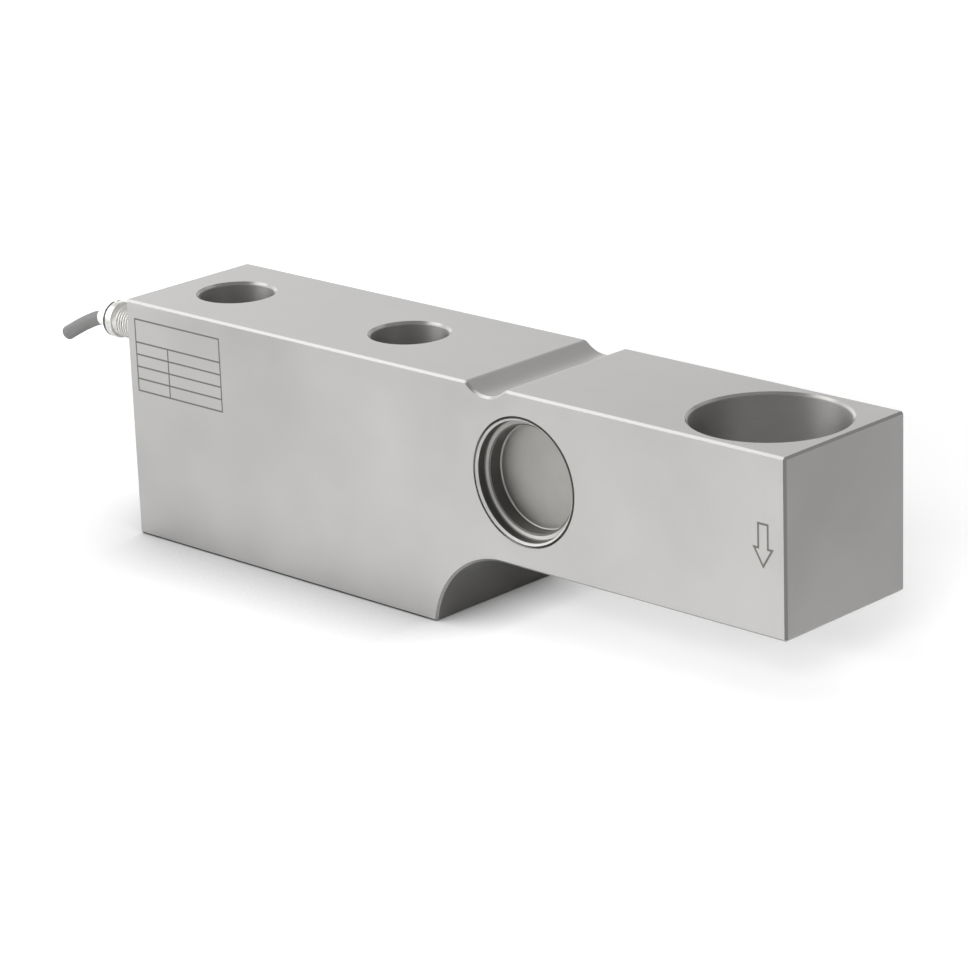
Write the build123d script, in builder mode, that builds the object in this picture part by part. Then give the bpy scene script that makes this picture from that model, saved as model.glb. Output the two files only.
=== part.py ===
from build123d import *
from math import cos, pi, radians, sin, sqrt, tan
import os

# Shear beam load cell with a deep mounting foot, a slim load end and a welded gauge pocket.
# X runs from the cable end to the load end, Y across the beam and Z up, in millimetres.
# The origin is midway between the two mounting bolts, on the face that the foot stands on.
# The near side is the one at -Y, and the far side is the one at +Y.

# Beam, machined from one bar
beam_length = 300.0
beam_width = 60.0
mount_height = 88.0
load_height = 60.0
foot_length = 149.0
scallop_radius = 32.0
edge_break = 0.8

# Groove across the top, over the gauge section
groove_from_front = 124.8
groove_radius = 12.0
groove_depth = 3.6
groove_shoulder_radius = 2.5

# Mounting bolt holes and the bore that takes the load
bolt_from_rear = 26.0
bolt_spacing = 86.0
bolt_hole_radius = 13.5
bolt_hole_chamfer = 1.0
load_bore_from_front = 30.0
load_bore_wall = 4.0
load_bore_chamfer = 0.9

# Gauge pockets, one from each side, with a shear web left between them
pocket_from_front = 109.0
web_thickness = 16.0
seat_radius = 21.9
seat_chamfer = 0.4
shoulder_width = 1.6
crossover_hole_radius = 1.6
crossover_drop = 12.0

# Pocket covers, deep drawn as stepped cups and welded round the rim
cover_fit = 0.05
cover_rim_chamfer = 0.4
cover_bevel = 0.7
ledge_depth = 3.75
ledge_width = 2.4
floor_depth = 9.0
cover_thickness = 1.2
cup_wall = 1.0
ledge_corner_radius = 0.4
floor_corner_radius = 0.6

# Strain gauges, one bonded to each face of the web
carrier_length = 13.0
carrier_height = 9.0
carrier_corner_radius = 0.8
carrier_thickness = 0.15
foil_thickness = 0.1
grid_angle = 45.0
strand_count = 8
strand_length = 4.2
strand_pitch = 0.5
strand_width = 0.26
grid_from_centre = 3.1
grid_lift = 1.0
tab_count = 4
tab_length = 1.8
tab_height = 1.4
tab_pitch = 3.2
tab_drop = 3.5

# Terminal board, a ring that stands on two silicone beds round the near gauge
board_outer_radius = 18.0
board_inner_radius = 10.5
board_thickness = 1.2
bed_thickness = 3.0
bed_outer_radius = 17.5
bed_inner_radius = 13.0
bed_angle = 60.0
pad_side = 1.7
pad_thickness = 0.3
resistor_length = 4.0
resistor_width = 2.2
resistor_height = 0.9
resistor_circle_radius = 14.2
resistor_angles = {"span_resistor": 30.0, "zero_resistor": 60.0, "temperature_resistor": 90.0}

# Terminal strip beside the far gauge
strip_length = 14.0
strip_height = 4.2
strip_thickness = 0.8
strip_drop = 7.3
strip_pad_length = 1.6
strip_pad_height = 3.4
strip_pad_from_middle = 1.0

# Fine wires between the gauges, the strip and the board
gauge_lead_radius = 0.2
crossover_lead_radius = 0.25
crossover_lead_offset = 0.45
near_lead_rise = 1.3
far_lead_rise = 1.5
near_crossover_rise = 1.9
far_crossover_rise = 2.3

# Cable entry: a hollow screw presses a rubber seal round the cable in a tapped bore
gland_from_near = 9.5
gland_from_top = 12.0
thread_radius = 6.0
thread_fit = 0.05
tapped_depth = 12.0
screw_engagement = 5.0
screw_thread_length = 11.1
relief_radius = 5.4
relief_length = 1.2
collar_radius = 6.55
collar_length = 4.2
collar_round = 0.45
spanner_slot_width = 2.0
spanner_slot_depth = 1.5
washer_thickness = 0.8
seal_length = 3.4
bush_seat_depth = 6.0
bush_seat_radius = 3.75
bush_wall = 0.35
bush_past_bend = 3.7
bush_round = 0.2

# Wire channel, drilled on a slant from the tapped bore to the near pocket
channel_radius = 2.5
channel_end_from_pocket = 16.0
channel_end_rise = 8.0

# Cable: four cores in a braid and a jacket, cut off square a short way out of the gland
jacket_radius = 2.6
jacket_wall = 0.7
cable_fit = 0.1
shield_wall = 0.25
core_radius = 0.55
core_circle_radius = 0.86
core_fan_before = 2.0
cable_straight = 3.4
cable_droop_runs = [(7.0, 13.5), (7.0, 24.0), (6.2, 27.5), (5.8, 29.5)]
bend_share = 0.45
joint_slack = 0.02

# How far a cut starts outside what it cuts, and how near an edge must be to be picked
cut_margin = 1.0
pick_within = 0.01

# Places worked out from the sizes above
rear_x = -(bolt_from_rear + bolt_spacing / 2)
front_x = rear_x + beam_length
foot_x = rear_x + foot_length
near_y = -beam_width / 2
step_height = mount_height - load_height
scallop_x = foot_x + sqrt(scallop_radius**2 - (scallop_radius - step_height) ** 2)
groove_x = front_x - groove_from_front
groove_half = sqrt(groove_radius**2 - (groove_radius - groove_depth) ** 2)
load_bore_x = front_x - load_bore_from_front
load_bore_radius = beam_width / 2 - load_bore_wall
pocket_x = front_x - pocket_from_front
pocket_z = mount_height - load_height / 2
cavity_radius = seat_radius - shoulder_width
seat_depth = ledge_depth + cover_thickness
pocket_depth = (beam_width - web_thickness) / 2
gland_y = near_y + gland_from_near
gland_z = mount_height - gland_from_top
screw_reach = screw_thread_length + relief_length + collar_length
seal_start = screw_engagement + washer_thickness
seal_end = seal_start + seal_length
board_face = bed_thickness + board_thickness
board_pad_face = board_face + pad_thickness
strip_pad_face = strip_thickness + pad_thickness
foil_face = carrier_thickness + foil_thickness
tab_places = [(index - (tab_count - 1) / 2) * tab_pitch for index in range(tab_count)]

# Planes on the two sides, each with its x along the beam and its normal out of the beam
near_face = Plane(origin=(pocket_x, near_y, pocket_z), x_dir=(1, 0, 0), z_dir=(0, -1, 0))
far_face = Plane(origin=(pocket_x, -near_y, pocket_z), x_dir=(-1, 0, 0), z_dir=(0, 1, 0))
near_web = near_face.offset(-pocket_depth)
far_web = far_face.offset(-pocket_depth)
gland_section = Plane(origin=(rear_x, gland_y, gland_z), x_dir=(-1, 0, 0), z_dir=(0, 1, 0))
gland_axis = Axis((rear_x, gland_y, gland_z), (-1, 0, 0))

os.makedirs("parts", exist_ok=True)


def save(builder, node):
    """Label a finished piece and write it to its own file."""
    builder.part.label = node
    export_step(builder.part, f"parts/{node}.step")


def gland_plane(depth):
    """A plane across the cable entry, this far inside the rear face, facing outwards."""
    return Plane(origin=(rear_x + depth, gland_y, gland_z), x_dir=(0, 1, 0), z_dir=(-1, 0, 0))


def across_web(u, v, height):
    """A point above the near face of the web: along the beam, up from the pocket centre, and out."""
    return Vector(pocket_x + u, near_web.origin.Y - height, pocket_z + v)


def beyond_web(u, v, height):
    """The same point above the far face of the web, with u still along +X."""
    return Vector(pocket_x + u, far_web.origin.Y + height, pocket_z + v)


def round_wire(points, bends, radius):
    """Add a round wire along these points to the part being built, kinked where its bend is 0."""
    with BuildLine() as path:
        FilletPolyline(*points, radius=bends)
    with BuildSketch(Plane(origin=path.line @ 0, z_dir=path.line % 0)) as section:
        Circle(radius)
    sweep(section.sketch, path=path.line, transition=Transition.RIGHT)


# Beam body: one bar with foot, load end, scalloped step, groove, bores, pockets and channel
channel_start = Vector(rear_x + tapped_depth, gland_y, gland_z)
channel_end = Vector(
    pocket_x - channel_end_from_pocket,
    near_y + floor_depth + cover_thickness + channel_radius,
    pocket_z + channel_end_rise,
)
channel_line = channel_end - channel_start

with BuildPart() as beam_body:
    with BuildSketch(Plane.XZ) as side_view:
        with BuildLine():
            Polyline(
                (groove_x - groove_half, mount_height),
                (rear_x, mount_height),
                (rear_x, 0),
                (foot_x, 0),
            )
            RadiusArc((foot_x, 0), (scallop_x, step_height), scallop_radius)
            Polyline(
                (scallop_x, step_height),
                (front_x, step_height),
                (front_x, mount_height),
                (groove_x + groove_half, mount_height),
            )
            ThreePointArc(
                (groove_x + groove_half, mount_height),
                (groove_x, mount_height - groove_depth),
                (groove_x - groove_half, mount_height),
            )
        make_face()
        shoulders = side_view.vertices().filter_by(
            lambda v: abs(abs(v.X - groove_x) - groove_half) < pick_within
        )
        fillet(shoulders, radius=groove_shoulder_radius)
    extrude(amount=beam_width / 2, both=True)

    side_edges = beam_body.faces().filter_by(Axis.Y).edges()
    corner_edges = beam_body.edges().filter_by(Axis.Y).filter_by(
        lambda e: min(abs(e.center().X - x) for x in (rear_x, foot_x, front_x)) < pick_within
    )
    chamfer(side_edges + corner_edges, length=edge_break)

    with BuildSketch():
        with GridLocations(bolt_spacing, 0, 2, 1):
            Circle(bolt_hole_radius)
        with Locations((load_bore_x, 0)):
            Circle(load_bore_radius)
    extrude(amount=mount_height, mode=Mode.SUBTRACT)
    round_edges = beam_body.edges(Select.LAST).filter_by(GeomType.CIRCLE)
    bore_edges = round_edges.filter_by(lambda e: abs(e.radius - load_bore_radius) < pick_within)
    bolt_edges = round_edges.filter_by(lambda e: abs(e.radius - bolt_hole_radius) < pick_within)
    chamfer(bolt_edges, length=bolt_hole_chamfer)
    chamfer(bore_edges, length=load_bore_chamfer)

    for face_plane in (near_face, far_face):
        with BuildSketch(face_plane):
            Circle(seat_radius)
        extrude(amount=-seat_depth, mode=Mode.SUBTRACT)
        mouth = beam_body.edges(Select.LAST).filter_by(GeomType.CIRCLE)
        mouth = mouth.filter_by(lambda e: abs(abs(e.center().Y) - beam_width / 2) < pick_within)
        chamfer(mouth, length=seat_chamfer)
        with BuildSketch(face_plane):
            Circle(cavity_radius)
        extrude(amount=-pocket_depth, mode=Mode.SUBTRACT)
    with BuildSketch(near_web):
        with Locations((0, -crossover_drop)):
            Circle(crossover_hole_radius)
    extrude(amount=-web_thickness, mode=Mode.SUBTRACT)

    with BuildSketch(gland_plane(0)):
        Circle(thread_radius + thread_fit)
    extrude(amount=-tapped_depth, mode=Mode.SUBTRACT)
    drill_start = channel_start - channel_line.normalized() * cut_margin
    with BuildSketch(Plane(origin=drill_start, z_dir=channel_line)):
        Circle(channel_radius)
    extrude(amount=channel_line.length + cut_margin, mode=Mode.SUBTRACT)
save(beam_body, "beam_body")


def pocket_cover(face_plane):
    """A stepped cup: rim bevel, short wall, ledge, deeper wall and flat floor, in one thickness."""
    rim_radius = seat_radius - cover_fit
    bevel_radius = rim_radius - cover_rim_chamfer
    mouth_radius = bevel_radius - cover_bevel
    cup_radius = mouth_radius - ledge_width
    section = Plane(origin=face_plane.origin, x_dir=face_plane.x_dir, z_dir=face_plane.y_dir)
    corners = {
        (0, floor_depth): 0,
        (cup_radius, floor_depth): floor_corner_radius,
        (cup_radius, ledge_depth): ledge_corner_radius,
        (mouth_radius, ledge_depth): ledge_corner_radius,
        (mouth_radius, cover_bevel): 0,
        (bevel_radius, 0): 0,
        (rim_radius, cover_rim_chamfer): 0,
        (rim_radius, seat_depth): 0,
        (cup_radius + cup_wall, seat_depth): 0,
        (cup_radius + cup_wall, floor_depth + cover_thickness): floor_corner_radius,
        (0, floor_depth + cover_thickness): 0,
    }
    with BuildPart() as cover:
        with BuildSketch(section):
            with BuildLine():
                FilletPolyline(*corners.keys(), radius=corners.values(), close=True)
            make_face()
        revolve(axis=Axis(face_plane.origin, face_plane.z_dir))
    return cover


save(pocket_cover(near_face), "near_cover")
save(pocket_cover(far_face), "far_cover")


def grid_points():
    """Centre line of one shear grid on the +x side: up and down at 45 degrees, ends led to two tabs."""
    centre = Vector(grid_from_centre, grid_lift)
    line = []
    for strand in range(strand_count):
        across = (strand - (strand_count - 1) / 2) * strand_pitch
        ends = [Vector(across, -strand_length / 2), Vector(across, strand_length / 2)]
        if strand % 2:
            ends.reverse()
        line += [end.rotate(Axis.Z, grid_angle) + centre for end in ends]
    inner_tab = Vector(tab_places[-2], -tab_drop)
    outer_tab = Vector(tab_places[-1], -tab_drop)
    inner_turn = Vector(line[0].X, -tab_drop + tab_height)
    outer_turn = Vector(line[-1].X, line[-1].Y - tab_height)
    return [inner_tab, inner_turn] + line + [outer_turn, outer_tab]


def gauge_carrier(web_plane):
    """The gauge's thin plastic carrier, bonded to the web."""
    with BuildPart() as carrier:
        with BuildSketch(web_plane):
            RectangleRounded(carrier_length, carrier_height, carrier_corner_radius)
        extrude(amount=carrier_thickness)
    return carrier


def gauge_grid(web_plane):
    """Two foil grids at plus and minus 45 degrees, each with a pair of solder tabs."""
    with BuildPart() as grid:
        for side in (1, -1):
            with BuildSketch(web_plane.offset(carrier_thickness)):
                with BuildLine():
                    Polyline(*[(side * point.X, point.Y) for point in grid_points()])
                trace(line_width=strand_width)
                with Locations(*[(side * u, -tab_drop) for u in tab_places[-2:]]):
                    Rectangle(tab_length, tab_height)
            extrude(amount=foil_thickness)
    return grid


for side_name, web_plane in (("near", near_web), ("far", far_web)):
    save(gauge_carrier(web_plane), f"{side_name}_gauge_carrier")
    save(gauge_grid(web_plane), f"{side_name}_gauge_grid")

# Terminal board in the near pocket: beds, ring board, pads and three trimming resistors
with BuildPart() as board_bed:
    for middle in (0, 180):
        with BuildSketch(near_web):
            with BuildLine():
                CenterArc((0, 0), bed_outer_radius, middle - bed_angle / 2, bed_angle)
                CenterArc((0, 0), bed_inner_radius, middle - bed_angle / 2, bed_angle)
                for edge in (middle - bed_angle / 2, middle + bed_angle / 2):
                    Line(
                        (bed_inner_radius * cos(radians(edge)), bed_inner_radius * sin(radians(edge))),
                        (bed_outer_radius * cos(radians(edge)), bed_outer_radius * sin(radians(edge))),
                    )
            make_face()
        extrude(amount=bed_thickness)
save(board_bed, "board_bed")

with BuildPart() as terminal_board:
    with BuildSketch(near_web.offset(bed_thickness)):
        Circle(board_outer_radius)
        Circle(board_inner_radius, mode=Mode.SUBTRACT)
        with Locations((0, -crossover_drop)):
            Circle(crossover_hole_radius, mode=Mode.SUBTRACT)
    extrude(amount=board_thickness)
save(terminal_board, "terminal_board")

core_pads = {
    "core_red": (-13.4, 9.6),
    "core_green": (-13.4, 5.8),
    "core_white": (-10.4, 9.6),
    "core_black": (-10.4, 5.8),
}
near_lead_pads = [(-8.6, -8.4), (-6.2, -10.4), (6.2, -10.4), (8.6, -8.4)]
crossover_pads = [(-4.0, -14.4), (-3.6, -11.8), (3.6, -11.8), (4.0, -14.4)]

with BuildPart() as board_pads:
    with BuildSketch(near_web.offset(board_face)):
        with Locations(*core_pads.values(), *near_lead_pads, *crossover_pads):
            Rectangle(pad_side, pad_side)
    extrude(amount=pad_thickness)
save(board_pads, "board_pads")

for node, angle in resistor_angles.items():
    with BuildPart() as resistor:
        with BuildSketch(near_web.offset(board_face)):
            with PolarLocations(resistor_circle_radius, 1, start_angle=angle):
                Rectangle(resistor_width, resistor_length)
        extrude(amount=resistor_height)
    save(resistor, node)

# Terminal strip and its pads in the far pocket
with BuildPart() as far_terminal_strip:
    with BuildSketch(far_web):
        with Locations((0, -strip_drop)):
            Rectangle(strip_length, strip_height)
    extrude(amount=strip_thickness)
save(far_terminal_strip, "far_terminal_strip")

with BuildPart() as far_strip_pads:
    with BuildSketch(far_web.offset(strip_thickness)):
        with Locations(*[(u, -strip_drop) for u in tab_places]):
            Rectangle(strip_pad_length, strip_pad_height)
    extrude(amount=pad_thickness)
save(far_strip_pads, "far_strip_pads")

# Fine leads: gauge to board, gauge to strip, and strip to board through the web
with BuildPart() as near_gauge_leads:
    for u, pad in zip(tab_places, near_lead_pads):
        top = board_pad_face + near_lead_rise
        route = [
            across_web(u, -tab_drop, foil_face),
            across_web(u, -tab_drop, top),
            across_web(*pad, top),
            across_web(*pad, board_pad_face),
        ]
        round_wire(route, [0] * len(route[1:-1]), gauge_lead_radius)
save(near_gauge_leads, "near_gauge_leads")

with BuildPart() as far_gauge_leads:
    for u in tab_places:
        top = strip_pad_face + far_lead_rise
        landing = -strip_drop + strip_pad_from_middle
        route = [
            beyond_web(u, -tab_drop, foil_face),
            beyond_web(u, -tab_drop, top),
            beyond_web(u, landing, top),
            beyond_web(u, landing, strip_pad_face),
        ]
        round_wire(route, [0] * len(route[1:-1]), gauge_lead_radius)
save(far_gauge_leads, "far_gauge_leads")

with BuildPart() as crossover_leads:
    bundle = [(-1, -1), (-1, 1), (1, 1), (1, -1)]
    for u, pad, (step_u, step_v) in zip(tab_places, crossover_pads, bundle):
        hole_u = step_u * crossover_lead_offset
        hole_v = step_v * crossover_lead_offset - crossover_drop
        landing = -strip_drop - strip_pad_from_middle
        far_top = strip_pad_face + far_crossover_rise
        near_top = board_pad_face + near_crossover_rise
        route = [
            beyond_web(u, landing, strip_pad_face),
            beyond_web(u, landing, far_top),
            beyond_web(hole_u, hole_v, far_top),
            across_web(hole_u, hole_v, near_top),
            across_web(*pad, near_top),
            across_web(*pad, board_pad_face),
        ]
        round_wire(route, [0] * len(route[1:-1]), crossover_lead_radius)
save(crossover_leads, "crossover_leads")

# Route of the cable: straight through the gland, then drooping in four short runs to its cut end
cable_route = [Vector(rear_x + seal_end, gland_y, gland_z)]
cable_route.append(Vector(rear_x - screw_reach - cable_straight, gland_y, gland_z))
for run, droop in cable_droop_runs:
    step = Vector(-run * cos(radians(droop)), 0, -run * sin(radians(droop)))
    cable_route.append(cable_route[-1] + step)


def arc_radii(points):
    """The radius of each corner's arc: a share of the shorter run, over the tangent of half the turn."""
    radii = []
    for before, corner, after in zip(points, points[1:], points[2:]):
        turn = (corner - before).get_angle(after - corner)
        shorter = min((corner - before).length, (after - corner).length)
        radii.append(bend_share * shorter / tan(radians(turn / 2)))
    return radii


cable_radii = arc_radii(cable_route)
print("cable bend radii, mm:", [round(radius, 1) for radius in cable_radii])
print("cable runs added up, mm:", round(sum((b - a).length for a, b in zip(cable_route, cable_route[1:])), 1))

# Cable entry: hollow screw with spanner slots, steel washer, rubber seal and plastic bush
with BuildPart() as gland_screw:
    with BuildSketch(gland_section):
        with BuildLine():
            Polyline(
                (-screw_engagement, jacket_radius + cable_fit),
                (-screw_engagement, thread_radius),
                (screw_thread_length, thread_radius),
                (screw_thread_length, relief_radius),
                (screw_thread_length + relief_length, relief_radius),
                (screw_thread_length + relief_length, collar_radius),
                (screw_reach, collar_radius),
                (screw_reach, bush_seat_radius),
                (screw_reach - bush_seat_depth, bush_seat_radius),
                (screw_reach - bush_seat_depth, jacket_radius + cable_fit),
                close=True,
            )
        make_face()
    revolve(axis=gland_axis)
    collar_edges = gland_screw.edges().filter_by(GeomType.CIRCLE)
    collar_edges = collar_edges.filter_by(lambda e: abs(e.radius - collar_radius) < pick_within)
    fillet(collar_edges, radius=collar_round)
    with BuildSketch(gland_plane(-screw_reach)):
        Rectangle(spanner_slot_width, 2 * collar_radius + cut_margin)
        Circle(bush_seat_radius, mode=Mode.SUBTRACT)
    extrude(amount=-spanner_slot_depth, mode=Mode.SUBTRACT)
save(gland_screw, "gland_screw")

with BuildPart() as thrust_washer:
    with BuildSketch(gland_plane(screw_engagement)):
        Circle(thread_radius - cable_fit)
        Circle(jacket_radius + cable_fit, mode=Mode.SUBTRACT)
    extrude(amount=-washer_thickness)
save(thrust_washer, "thrust_washer")

with BuildPart() as gland_seal:
    with BuildSketch(gland_plane(seal_start)):
        Circle(thread_radius - joint_slack)
        Circle(jacket_radius + joint_slack, mode=Mode.SUBTRACT)
    extrude(amount=-seal_length)
save(gland_seal, "gland_seal")

with BuildPart() as gland_bush:
    with BuildSketch(gland_plane(-screw_reach + bush_seat_depth)):
        Circle(bush_seat_radius - joint_slack)
        Circle(jacket_radius + cable_fit, mode=Mode.SUBTRACT)
    extrude(amount=bush_seat_depth)
    first_bend = cable_route[1]
    bush_path_start = Vector(rear_x - screw_reach, gland_y, gland_z)
    bush_path_end = first_bend + (cable_route[2] - first_bend).normalized() * bush_past_bend
    with BuildLine() as bush_path:
        FilletPolyline(bush_path_start, first_bend, bush_path_end, radius=cable_radii[0])
    with BuildSketch(gland_plane(-screw_reach)):
        Circle(jacket_radius + cable_fit + bush_wall)
        Circle(jacket_radius + cable_fit, mode=Mode.SUBTRACT)
    sweep(path=bush_path.line)
    bush_mouth = gland_bush.faces().sort_by(Axis.X)[0].edges().sort_by(SortBy.RADIUS)[-1]
    fillet(bush_mouth, radius=bush_round)
save(gland_bush, "gland_bush")

# Cable: jacket and braid, swept along the route
shield_radius = jacket_radius - jacket_wall

with BuildPart() as cable_jacket:
    with BuildLine() as jacket_path:
        FilletPolyline(*cable_route, radius=cable_radii)
    with BuildSketch(gland_plane(seal_end)):
        Circle(jacket_radius)
        Circle(shield_radius, mode=Mode.SUBTRACT)
    sweep(path=jacket_path.line)
save(cable_jacket, "cable_jacket")

with BuildPart() as cable_shield:
    with BuildLine() as shield_path:
        FilletPolyline(*cable_route, radius=cable_radii)
    with BuildSketch(gland_plane(seal_end)):
        Circle(shield_radius)
        Circle(shield_radius - shield_wall, mode=Mode.SUBTRACT)
    sweep(path=shield_path.line)
save(cable_shield, "cable_shield")
jacket_section = pi * (jacket_radius**2 - shield_radius**2)
print("jacket length by its path, mm:", round(jacket_path.wires()[0].length, 2))
print("jacket length by its volume, mm:", round(cable_jacket.part.volume / jacket_section, 2))

# Cores: along the cable, through the potting and the slanted channel, each to its own board pad
core_corners = {"core_red": (1, 1), "core_green": (1, -1), "core_white": (-1, 1), "core_black": (-1, -1)}
core_step = core_circle_radius / sqrt(2)

for node, (step_y, step_z) in core_corners.items():
    shift = Vector(0, step_y * core_step, step_z * core_step)
    fan_x = channel_end.X - core_fan_before
    fan_share = (fan_x - channel_start.X) / channel_line.X
    pad = across_web(*core_pads[node], board_pad_face)
    inner_route = [
        cable_route[0] + shift,
        channel_start + shift,
        channel_start + channel_line * fan_share + shift,
        Vector(pad.X, channel_end.Y + shift.Y, pad.Z),
        pad,
    ]
    with BuildPart() as core:
        with BuildLine() as tail_path:
            FilletPolyline(*cable_route, radius=cable_radii)
        with BuildSketch(gland_plane(seal_end)):
            with Locations((shift.Y, -shift.Z)):
                Circle(core_radius)
        sweep(path=tail_path.line)
        round_wire(inner_route, [0] * len(inner_route[1:-1]), core_radius)
    save(core, node)

# Potting that closes the bottom of the tapped bore round the four cores
with BuildPart() as entry_potting:
    with BuildSketch(gland_plane(seal_end)):
        Circle(thread_radius - joint_slack)
        with Locations(*[(y * core_step, -z * core_step) for y, z in core_corners.values()]):
            Circle(core_radius + joint_slack, mode=Mode.SUBTRACT)
    extrude(amount=-(tapped_depth - seal_end))
save(entry_potting, "entry_potting")
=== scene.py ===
from math import cos, pi, radians, sin, tau

import bmesh
import bpy
from mathutils import Matrix, Vector


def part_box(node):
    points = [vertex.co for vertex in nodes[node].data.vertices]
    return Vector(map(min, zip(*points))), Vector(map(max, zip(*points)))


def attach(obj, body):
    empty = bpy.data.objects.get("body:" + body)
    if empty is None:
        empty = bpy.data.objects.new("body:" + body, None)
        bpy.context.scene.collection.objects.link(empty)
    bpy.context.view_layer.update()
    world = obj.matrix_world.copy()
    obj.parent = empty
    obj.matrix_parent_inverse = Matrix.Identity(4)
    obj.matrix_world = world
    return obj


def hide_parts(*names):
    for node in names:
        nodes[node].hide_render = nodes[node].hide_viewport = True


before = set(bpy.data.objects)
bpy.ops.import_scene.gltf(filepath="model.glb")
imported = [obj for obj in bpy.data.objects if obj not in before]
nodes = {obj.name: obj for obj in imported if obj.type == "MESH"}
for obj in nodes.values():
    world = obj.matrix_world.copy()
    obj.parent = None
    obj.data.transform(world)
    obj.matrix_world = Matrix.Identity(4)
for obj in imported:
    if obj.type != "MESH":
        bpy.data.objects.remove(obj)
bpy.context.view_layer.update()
scene = bpy.context.scene

# The camera stands in front of the near side, turned towards the load end and a little above it.
# Its place and lens were fitted to the beam's corners, so it holds the photograph's perspective.
# Lengths are in metres and angles in degrees.
camera_azimuth = 43.779
camera_elevation = 18.468
camera_roll = -2.053
camera_distance = 1.2952
camera_aim = Vector((0.061, 0.0, 0.035))
camera_shift_right = 0.01048
camera_shift_up = 0.00202
focal_pixels = 3780.07
image_width = 968
sensor_width = 36.0

azimuth, elevation, roll = (radians(a) for a in (camera_azimuth, camera_elevation, camera_roll))
camera_back = Vector((sin(azimuth) * cos(elevation), -cos(azimuth) * cos(elevation), sin(elevation)))
level_right = Vector((0, 0, 1)).cross(camera_back).normalized()
level_up = camera_back.cross(level_right)
camera_right = level_right * cos(roll) + level_up * sin(roll)
camera_up = level_up * cos(roll) - level_right * sin(roll)
camera_place = camera_aim + camera_right * camera_shift_right + camera_up * camera_shift_up
camera_place += camera_back * camera_distance

camera_data = bpy.data.cameras.new("camera")
camera_data.sensor_width = sensor_width
camera_data.lens = focal_pixels * sensor_width / image_width
camera = bpy.data.objects.new("camera", camera_data)
camera_turn = Matrix((camera_right, camera_up, camera_back)).transposed().to_4x4()
camera.matrix_world = Matrix.Translation(camera_place) @ camera_turn
scene.collection.objects.link(camera)
scene.camera = camera


# The cable is a four-core load cell cable in a grey polyurethane jacket, cut off square.
# It comes straight out of the gland's bush and droops under its own weight to the cut end.
# The jacket and the braid under it are tubes of the real wall, swept along one smooth route.
cable_route = [
    (-0.05980, -0.0205, 0.07600),
    (-0.08190, -0.0205, 0.07600),
    (-0.08890, -0.0205, 0.07600),
    (-0.09571, -0.0205, 0.07437),
    (-0.10210, -0.0205, 0.07152),
    (-0.10760, -0.0205, 0.06866),
    (-0.11265, -0.0205, 0.06580),
]
jacket_radius = 0.0026
jacket_wall = 0.0007
braid_wall = 0.00025
tube_sides = 48
route_order = 3
route_steps = 10


def finished(name, mesh, material=None):
    """Link a finished mesh as a piece of the root body that takes its finish from this slot."""
    piece = bpy.data.objects.new(name, mesh)
    scene.collection.objects.link(piece)
    if material:
        mesh.materials.clear()
        mesh.materials.append(material)
    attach(piece, "root")
    return piece


def route_points(controls):
    """The points of the smooth line that has these points as its control points."""
    curve = bpy.data.curves.new("route", "CURVE")
    curve.dimensions = "3D"
    spline = curve.splines.new("NURBS")
    spline.points.add(len(controls) - 1)
    for point, place in zip(spline.points, controls):
        point.co = (*place, 1)
    spline.order_u = route_order
    spline.use_endpoint_u = True
    spline.resolution_u = route_steps
    line = bpy.data.objects.new("route", curve)
    scene.collection.objects.link(line)
    bpy.context.view_layer.update()
    mesh = bpy.data.meshes.new_from_object(line)
    points = [vertex.co.copy() for vertex in mesh.vertices]
    bpy.data.objects.remove(line)
    bpy.data.curves.remove(curve)
    bpy.data.meshes.remove(mesh)
    return points


def hollow_tube(name, points, outer_radius, inner_radius):
    """A tube along points in one upright plane, closed by a flat ring at each end, with a UV in metres."""
    mesh_maker = bmesh.new()
    uv = mesh_maker.loops.layers.uv.new("along")
    across = Vector((0, 1, 0))
    rings = {outer_radius: [], inner_radius: []}
    travelled = [0.0]
    for before, after in zip(points, points[1:]):
        travelled.append(travelled[-1] + (after - before).length)
    turns = [tau * side / tube_sides for side in range(tube_sides)]
    for index, point in enumerate(points):
        last = len(points) - 1
        heading = (points[min(index + 1, last)] - points[max(index - 1, 0)]).normalized()
        rise = heading.cross(across)
        for radius, made in rings.items():
            offsets = [(across * cos(turn) + rise * sin(turn)) * radius for turn in turns]
            made.append([mesh_maker.verts.new(point + offset) for offset in offsets])

    def skin(lower, upper, low_v, high_v, radius):
        for side in range(tube_sides):
            following = (side + 1) % tube_sides
            corners = (lower[side], lower[following], upper[following], upper[side])
            face = mesh_maker.faces.new(corners)
            face.smooth = low_v != high_v
            around = tau * radius / tube_sides
            places = ((side, low_v), (side + 1, low_v), (side + 1, high_v), (side, high_v))
            for loop, place in zip(face.loops, places):
                loop[uv].uv = (place[0] * around, place[1])

    for radius, made in rings.items():
        for index in range(len(points) - 1):
            skin(made[index], made[index + 1], travelled[index], travelled[index + 1], radius)
    for end in (0, -1):
        skin(rings[inner_radius][end], rings[outer_radius][end], travelled[end], travelled[end], outer_radius)
    bmesh.ops.recalc_face_normals(mesh_maker, faces=mesh_maker.faces)
    mesh = bpy.data.meshes.new(name)
    mesh_maker.to_mesh(mesh)
    mesh_maker.free()
    return mesh


def linear(hex_colour):
    """An sRGB hex colour as the linear RGBA that a shader socket takes."""
    parts = [int(hex_colour[i:i + 2], 16) / 255 for i in (1, 3, 5)]
    return [c / 12.92 if c <= 0.04045 else ((c + 0.055) / 1.055) ** 2.4 for c in parts] + [1.0]


def add(tree, kind, inputs=None, **settings):
    """Add a node with its settings; an input given as an output socket is linked, another is set."""
    node = tree.nodes.new(kind)
    for name, value in settings.items():
        setattr(node, name, value)
    for key, value in (inputs or {}).items():
        if isinstance(value, bpy.types.NodeSocket):
            tree.links.new(value, node.inputs[key])
        else:
            node.inputs[key].default_value = value
    return node


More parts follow.
